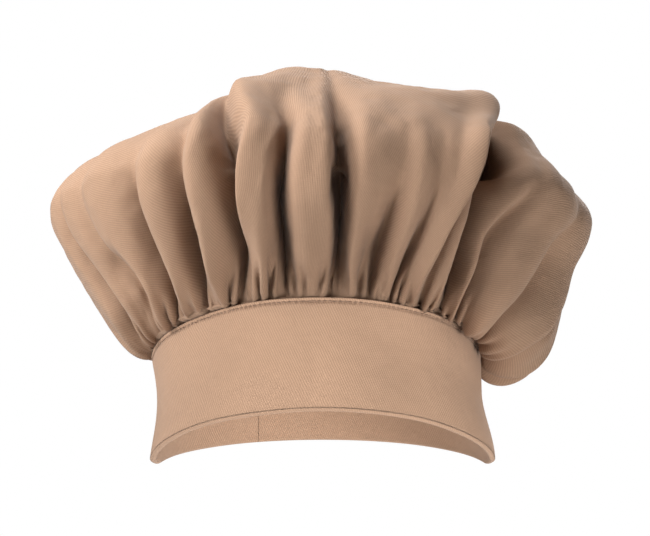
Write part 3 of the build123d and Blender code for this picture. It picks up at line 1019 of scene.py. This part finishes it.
def care_label():
    """A blank woven label that hangs from its top edge, with its ends folded under and a slight curl."""
    x_range = (-LABEL_HALF_WIDTH, LABEL_HALF_WIDTH)
    x, z, edge = rounded_panel(x_range, (LABEL_TOP - LABEL_HEIGHT, LABEL_TOP), 0.8 * MM, 0.9 * MM)
    hanging = (LABEL_TOP - z) / LABEL_HEIGHT
    curl = 1.4 * MM * hanging**2 * (1 + 0.5 * np.sin(130 * x)) + 0.15 * MM * np.sin(400 * x) * hanging
    half = 0.14 * MM + 0.10 * MM * (np.minimum(z - z.min(), LABEL_TOP - z) < 3.1 * MM)
    half = half * (0.4 + 0.6 * smoothstep(0, 0.4 * MM, edge))
    middle = LABEL_Y - curl
    front, back = (np.stack([x, middle + way * half, z], -1) for way in (-1, 1))
    return two_sided(front, back, np.stack([x, z], -1))


def care_label_stitches():
    """Tacking that holds the label's top edge to the inside of the band."""
    x = (np.arange(LABEL_STITCHES) + 0.5) / LABEL_STITCHES * 2 * LABEL_HALF_WIDTH - LABEL_HALF_WIDTH
    t = np.linspace(0, 1, 9)
    wall = back_point(x[:, None], 0.0, 0.0)[..., 1]
    near = LABEL_Y - 0.35 * MM
    y = near + (wall - near) * t
    z = LABEL_TOP - 1.2 * MM + 2.4 * MM * smoothstep(0, 0.7, t) + 0 * y
    across = x[:, None] + 0.7 * MM * (t - 0.5)
    centres = np.stack([across, y, z], -1)
    side = np.broadcast_to(np.array([1.0, 0.0, 0.0]), centres.shape)
    return tubes(centres, side)


# ---- Materials ----


class Graph:
    """Short calls for building a material from nodes."""

    def __init__(self, name):
        self.material = bpy.data.materials.new(name)
        self.material.use_nodes = True
        self.tree = self.material.node_tree
        self.surface = self.tree.nodes["Principled BSDF"]
        cloth = self.add("UVMap", uv_map="flat").outputs[0]
        split = self.add("SeparateXYZ")
        self.feed(cloth, split.inputs[0])
        self.cloth, self.u, self.v = cloth, split.outputs[0], split.outputs[1]

    def add(self, kind, **settings):
        node = self.tree.nodes.new("ShaderNode" + kind)
        for name, value in settings.items():
            setattr(node, name, value)
        return node

    def feed(self, value, socket):
        if isinstance(value, bpy.types.NodeSocket):
            self.tree.links.new(value, socket)
        else:
            socket.default_value = value

    def math(self, operation, a, b=0.0):
        node = self.add("Math", operation=operation)
        self.feed(a, node.inputs[0])
        self.feed(b, node.inputs[1])
        return node.outputs[0]

    def times(self, a, b):
        return self.math("MULTIPLY", a, b)

    def total(self, *terms):
        result = terms[0]
        for term in terms[1:]:
            result = self.math("ADD", result, term)
        return result

    def wave(self, u_share, v_share, pitch, shift=0.0):
        """A wave from 0 to 1 across the cloth, with its crests square to (u_share, v_share)."""
        across = self.total(self.times(self.u, u_share), self.times(self.v, v_share))
        phase = self.total(self.times(across, 2 * math.pi / pitch), shift)
        return self.span(self.math("SINE", phase), -1, 1)

    def span(self, value, low, high, to_low=0, to_high=1):
        """value carried from one range to another."""
        node = self.add("MapRange")
        for number, item in enumerate((value, low, high, to_low, to_high)):
            self.feed(item, node.inputs[number])
        return node.outputs[0]

    def noise(self, scale, detail=2.0, stretch=(1, 1)):
        """Noise over the cloth with features about 1 / scale metres across."""
        place = self.add("CombineXYZ")
        self.feed(self.times(self.u, stretch[0]), place.inputs[0])
        self.feed(self.times(self.v, stretch[1]), place.inputs[1])
        node = self.add("TexNoise")
        self.feed(place.outputs[0], node.inputs["Vector"])
        node.inputs["Scale"].default_value = scale
        node.inputs["Detail"].default_value = detail
        return node.outputs[0]

    def openness(self, reach):
        """How much light gets in around a point: 1 in the open, towards 0 deep in a crease."""
        node = self.add("AmbientOcclusion", samples=8)
        node.inputs["Distance"].default_value = reach
        return node.outputs["AO"]

    def attribute(self, name):
        return self.add("Attribute", attribute_name=name).outputs["Fac"]

    def mix(self, factor, a, b):
        node = self.add("Mix", data_type="RGBA")
        self.feed(factor, node.inputs[0])
        for value, socket in ((a, node.inputs[6]), (b, node.inputs[7])):
            self.feed(value if isinstance(value, bpy.types.NodeSocket) else (*value, 1), socket)
        return node.outputs[2]

    def tint(self, factor, colour, dark, light):
        """Runs from a colour's dark shade to its light one."""
        return self.mix(factor, shade(colour, dark), shade(colour, light))

    def bump(self, height, distance, under=None):
        """Relief of that many metres, on top of the relief under it."""
        node = self.add("Bump")
        node.inputs["Distance"].default_value = distance
        self.feed(height, node.inputs["Height"])
        if under is not None:
            self.feed(under, node.inputs["Normal"])
        return node.outputs[0]

    def finish(self, colour, roughness, normal, sheen, specular=0.2):
        self.feed(colour, self.surface.inputs["Base Color"])
        self.feed(roughness, self.surface.inputs["Roughness"])
        self.feed(normal, self.surface.inputs["Normal"])
        self.surface.inputs["Specular IOR Level"].default_value = specular
        self.surface.inputs["Sheen Weight"].default_value = sheen
        self.surface.inputs["Sheen Roughness"].default_value = 0.5
        return self.material


def shade(colour, amount):
    """A colour made lighter or darker."""
    return tuple(min(channel * amount, 1.0) for channel in colour)


def twill(name, colour, pitch, slope, depth):
    """Cotton twill: steep ribs broken into short floats, with slubs, uneven dye, rubbed edges and painted
    shade in creases and folds.
    """
    graph = Graph(name)
    across, along = math.sin(math.radians(slope)), math.cos(math.radians(slope))
    unsteady = graph.span(graph.noise(260), 0, 1, -1.3, 1.3)
    rib = graph.wave(across, -along, pitch, unsteady)
    floats = graph.wave(along, across, 0.75 * pitch, graph.times(rib, 2.0))
    weave = graph.times(rib, graph.span(floats, 0, 1, 0.7, 1.0))
    dye = graph.noise(22, 3)
    slubs = graph.noise(70, 2, stretch=(1, 22))
    fibre = graph.noise(2600, 2)
    tone = graph.total(graph.span(dye, 0.3, 0.7, -0.10, 0.10), graph.span(slubs, 0.35, 0.65, -0.07, 0.07),
                       graph.span(fibre, 0.3, 0.7, -0.10, 0.10), weave)
    surface = graph.tint(graph.span(tone, 0, 1), colour, 1 - 0.26 * depth, 1 + 0.12 * depth)
    wear_and_shade = graph.attribute("wear_and_shade")
    rubbed = graph.times(graph.span(wear_and_shade, 0, 1), graph.span(graph.noise(420, 3), 0.35, 0.6, 0, 0.55))
    surface = graph.mix(rubbed, surface, shade(colour, 1.35))
    # Painted shade: below 0 the attribute draws the colour towards a dark shade, along the band's lower
    # fold.
    painted_fold_shade = graph.span(wear_and_shade, -1, 0, 0.38, 0)
    surface = graph.mix(painted_fold_shade, surface, shade(colour, 0.2))
    # Painted shade: the colour is drawn towards a dark shade where the cloth is closed in, in creases and
    # hollows.
    painted_crease_shade = graph.span(graph.openness(PAINTED_SHADE_REACH), 0.25, 0.95, PAINTED_CREASE_SHADE, 0)
    surface = graph.mix(painted_crease_shade, surface, shade(colour, 0.25))
    roughness = graph.span(weave, 0, 1, 0.97, 0.80)
    creases = graph.bump(graph.noise(120, 3), 0.5 * MM)
    relief = graph.total(weave, graph.times(fibre, 0.3))
    threads = graph.bump(relief, 0.16 * MM * depth, creases)
    return graph.finish(surface, roughness, threads, sheen=0.12)


def thread_material(name, colour):
    """Spun thread: two plies that wind round each other, with stray fibre."""
    graph = Graph(name)
    ply = graph.wave(0.5, 0.87, 0.42 * MM)
    fibre = graph.noise(4200, 2, stretch=(0.3, 1))
    tone = graph.total(graph.span(ply, 0, 1, 0.1, 0.75), graph.span(fibre, 0.3, 0.7, -0.15, 0.15))
    surface = graph.tint(tone, colour, 0.66, 1.15)
    roughness = graph.span(fibre, 0, 1, 0.5, 0.75)
    return graph.finish(surface, roughness, graph.bump(ply, 0.12 * MM), sheen=0.1, specular=0.4)


def tape(name, colour, pitch, relief):
    """Woven nylon tape: a plain weave of fine yarn, a little shiny, fluffed between the yarns."""
    graph = Graph(name)
    weave = graph.times(graph.wave(1, 0, pitch), graph.wave(0, 1, pitch))
    fluff = graph.noise(900, 3)
    tone = graph.total(graph.times(weave, 0.7), graph.span(fluff, 0.3, 0.7, -0.2, 0.35))
    surface = graph.tint(tone, colour, 0.6, 1.25)
    height = graph.total(weave, graph.times(fluff, 0.6))
    roughness = graph.span(fluff, 0.3, 0.7, 0.45, 0.7)
    return graph.finish(surface, roughness, graph.bump(height, relief), sheen=0.25, specular=0.35)


def interfacing(name, colour):
    """Non-woven sheet: pressed fibres that lie all ways, bonded at small dots."""
    graph = Graph(name)
    fibres = graph.total(graph.noise(900, 4, (1, 0.15)), graph.noise(900, 4, (0.15, 1)))
    dots = graph.times(graph.wave(0.7, 0.7, 1.6 * MM), graph.wave(0.7, -0.7, 1.6 * MM))
    tone = graph.total(graph.span(fibres, 0.7, 1.3, 0, 0.8), graph.times(dots, -0.25))
    surface = graph.tint(tone, colour, 0.78, 1.08)
    height = graph.total(fibres, graph.times(dots, -0.6))
    roughness = graph.span(dots, 0, 1, 0.9, 0.6)
    return graph.finish(surface, roughness, graph.bump(height, 0.1 * MM), sheen=0.05)


def satin(name, colour):
    """Woven satin: long fine floats across the label that catch the light."""
    graph = Graph(name)
    floats = graph.noise(500, 2, stretch=(0.12, 6))
    yarn = graph.wave(0, 1, 0.3 * MM)
    tone = graph.total(graph.span(floats, 0.3, 0.7, 0.1, 0.8), graph.times(yarn, 0.2))
    surface = graph.tint(tone, colour, 0.86, 1.04)
    height = graph.total(yarn, graph.times(floats, 0.5))
    roughness = graph.span(floats, 0.3, 0.7, 0.3, 0.5)
    return graph.finish(surface, roughness, graph.bump(height, 0.05 * MM), sheen=0.3, specular=0.6)


# ---- Stage ----


# Each light's name, place, diameter and power, and the pieces it reaches if not all of them.
LIGHTS = (
    ("key", (-1.20, -0.45, 0.55), 0.6, 14, None),
    ("key_front", (-0.80, -1.05, 0.62), 0.6, 11, "crown_only"),
    ("top", (-0.15, 0.2, 1.35), 0.6, 11.5, None),
    ("low_right", (0.9, -0.8, -0.5), 0.7, 6, None),
    ("back", (0.5, 1.3, 0.6), 1.0, 15, None),
    ("bounce", (-0.25, -0.62, -0.62), 0.5, 7, "below_crown"),
    ("low_front", (0.9, -0.8, -0.5), 0.7, 9, "below_crown"),
)
AMBIENT = 0.01
CAMERA_PLACE, CAMERA_TARGET = (0.0015, -1.30, -0.077), (0.0015, 0, 0.102)
WIDTH_SEEN = 0.3406  # metres across the picture, at the target


def aimed(obj, place, target):
    """Puts a light or a camera in its place, looking at target."""
    obj.location = place
    obj.rotation_euler = (Vector(target) - obj.location).to_track_quat("-Z", "Y").to_euler()
    bpy.context.scene.collection.objects.link(obj)
    return obj


def area_light(name, place, diameter, power):
    data = bpy.data.lights.new(name, "AREA")
    data.shape = "DISK"
    data.size = diameter
    data.energy = power
    return aimed(bpy.data.objects.new(name, data), place, (0, 0, 2 * BAND_HEIGHT))


def floor():
    """A pale floor well below the hat, which the low camera doesn't see."""
    size, height = 3.0, -0.75
    corners = [(-size, -size, height), (size, -size, height), (size, size, height), (-size, size, height)]
    obj = make_object("floor", make_mesh("floor", corners, [(0, 1, 2, 3)]))
    graph = Graph("floor_paper")
    tone = graph.mix(graph.noise(3, 2), (0.86, 0.86, 0.85), (0.90, 0.90, 0.89))
    paper = graph.finish(tone, 0.8, graph.bump(graph.noise(40), 0.2 * MM), sheen=0.0)
    graph.surface.inputs["Emission Color"].default_value = (0.9, 0.9, 0.89, 1)
    pale = graph.times(graph.add("LightPath").outputs["Is Camera Ray"], 0.9)
    graph.feed(pale, graph.surface.inputs["Emission Strength"])
    clear, either = graph.add("BsdfTransparent"), graph.add("MixShader")
    graph.feed(graph.add("NewGeometry").outputs["Backfacing"], either.inputs[0])
    graph.feed(graph.surface.outputs[0], either.inputs[1])
    graph.feed(clear.outputs[0], either.inputs[2])
    graph.feed(either.outputs[0], graph.tree.nodes["Material Output"].inputs["Surface"])
    obj.data.materials.append(paper)


def world():
    """White where the camera looks past the hat, and a much weaker light everywhere else."""
    backdrop = bpy.data.worlds.new("world")
    bpy.context.scene.world = backdrop
    backdrop.use_nodes = True
    tree = backdrop.node_tree
    tree.nodes.clear()
    seen, light = tree.nodes.new("ShaderNodeBackground"), tree.nodes.new("ShaderNodeBackground")
    seen.inputs["Color"].default_value = (1, 1, 1, 1)
    light.inputs["Strength"].default_value = AMBIENT
    path, mix = tree.nodes.new("ShaderNodeLightPath"), tree.nodes.new("ShaderNodeMixShader")
    output = tree.nodes.new("ShaderNodeOutputWorld")
    tree.links.new(path.outputs["Is Camera Ray"], mix.inputs[0])
    tree.links.new(light.outputs[0], mix.inputs[1])
    tree.links.new(seen.outputs[0], mix.inputs[2])
    tree.links.new(mix.outputs[0], output.inputs[0])


def lights():
    receivers = {name: bpy.data.collections.new(name) for name in ("crown_only", "below_crown")}
    for obj in bpy.context.scene.objects:
        if obj.type == "MESH":
            receivers["crown_only" if obj.name == "crown" else "below_crown"].objects.link(obj)
    for *settings, reached in LIGHTS:
        light = area_light(*settings)
        if reached:
            light.light_linking.receiver_collection = receivers[reached]
    bpy.context.scene.view_settings.view_transform = "Standard"


def camera():
    data = bpy.data.cameras.new("camera")
    data.sensor_width = 36
    obj = aimed(bpy.data.objects.new("camera", data), CAMERA_PLACE, CAMERA_TARGET)
    distance = (Vector(CAMERA_TARGET) - obj.location).length
    data.lens = data.sensor_width * distance / WIDTH_SEEN
    bpy.context.scene.camera = obj


# ---- The scene ----


COTTON = (0.50, 0.312, 0.205)
TOPSTITCH_SUNK = 0.17 * MM  # how far each row of stitches is drawn into the cloth
LINING_SUNK = 0.25 * MM
TAB_EDGE_SUNK = 0.2 * MM
CORE_INSET, TAB_PLUMP = 2 * MM, 0.12 * MM
STIFF_HEIGHTS = (1.0 * MM, BAND_HEIGHT - 1.5 * MM)


def band_pieces(thread, stiffener):
    """What is inside the headband, and the stitching round it."""
    rows = merged([band_row(GATHER_THREAD, height, BASTING) for height in GATHER_ROWS])
    outside = band_row(FACE_THREAD - TOPSTITCH_SUNK, TOPSTITCH_HEIGHT, TOPSTITCH)
    inside = band_row(LINING_THREAD + LINING_SUNK, TOPSTITCH_HEIGHT, TOPSTITCH, facing=-1)
    core = ring_strip(INTERFACING, *STIFF_HEIGHTS)
    make_piece("headband_stiffener", core, "headband_interfacing", stiffener, "headband")
    make_piece("gathering_rows", rows, "gathering_threads", thread, "headband")
    make_piece("topstitch_outside", outside, "topstitch_needle_thread", thread, "headband")
    make_piece("topstitch_inside", inside, "topstitch_bobbin_thread", thread, "headband")


def tab_pieces(cloth, thread, stiffener):
    """The closure tab, with its edge stitching and its stiffener."""
    shape, wear_and_shade = back_panel(TAB_X, TAB_Z, TAB_CORNER, TAB, FINE_STEP, EDGE_STITCH_INSET, TAB_PLUMP)
    edge, core = (
        (inset(TAB_X, by), inset(TAB_Z, by), TAB_CORNER - by) for by in (EDGE_STITCH_INSET, CORE_INSET)
    )
    stitching = panel_stitches(*edge, TAB_THREAD - TAB_EDGE_SUNK)
    core_shape, _ = back_panel(*core, TAB_INTERFACING, COARSE_STEP)
    pieces = (
        make_piece("tab", shape, "closure_tab", cloth, wear_and_shade=wear_and_shade),
        make_piece("tab_edge_stitches", stitching, "tab_edge_stitching", thread),
        make_piece("tab_stiffener", core_shape, "closure_tab_interfacing", stiffener),
    )
    start, end = (back_point(np.array(x), np.array(sum(TAB_Z) / 2), TAB[0]) for x in TAB_BEND_X)
    end[1] = start[1]
    for piece in pieces:
        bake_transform(piece)


def fastener_pieces(loop_cloth, hook_cloth, thread):
    """The two tapes of the closure, and the stitching that holds them and the tab."""
    loop_seam, hook_seam = (
        (inset(x_range, STRIP_STITCH_INSET), inset(STRIP_Z, STRIP_STITCH_INSET), SEAM_CORNER)
        for x_range in (LOOP_X, HOOK_X)
    )
    hook_stitches = panel_stitches(*hook_seam, TAB_THREAD)
    loop_stitches = panel_stitches(*loop_seam, LINING_THREAD, facing=-1)
    hooks = tape_shape(HOOK_X, HOOK_TAPE[1], -1, HOOK_TAPE[0] + 0.06 * MM, HOOKS)
    loops = tape_shape(LOOP_X, LOOP_TAPE[0], 1, LOOP_TAPE[1] - 0.05 * MM, LOOPS)
    make_piece("hook_tape", hooks, "hook_strip", hook_cloth, "closure_tab")
    make_piece("loop_tape", loops, "loop_strip", loop_cloth, "headband")
    make_piece("hook_tape_stitches", hook_stitches, "hook_strip_stitching", thread, "closure_tab")
    make_piece("loop_tape_stitches", loop_stitches, "loop_strip_stitching", thread, "headband")
    make_piece("tab_anchor", anchor_stitches(), "tab_anchor_stitches", thread, "headband")


def build_hat():
    band_cloth = twill("band_twill", COTTON, pitch=1.25 * MM, slope=62, depth=0.7)
    crown_cloth = twill("crown_twill", COTTON, pitch=1.15 * MM, slope=82, depth=0.6)
    thread = thread_material("thread", shade(COTTON, 0.8))
    stiffener = interfacing("interfacing", (0.80, 0.78, 0.74))
    loop_cloth = tape("loop_tape", shade(COTTON, 0.85), pitch=0.5 * MM, relief=0.12 * MM)
    hook_cloth = tape("hook_tape", shade(COTTON, 0.78), pitch=0.7 * MM, relief=0.10 * MM)
    label_cloth = satin("label_satin", (0.86, 0.85, 0.82))

    make_crown(crown_cloth)
    headband(band_cloth)
    band_pieces(thread, stiffener)
    tab_pieces(band_cloth, thread, stiffener)
    fastener_pieces(loop_cloth, hook_cloth, thread)
    make_piece("label", care_label(), "care_label", label_cloth, "care_label")
    make_piece("label_tacks", care_label_stitches(), "care_label_stitches", thread, "headband")


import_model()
build_hat()
floor()
world()
lights()
camera()
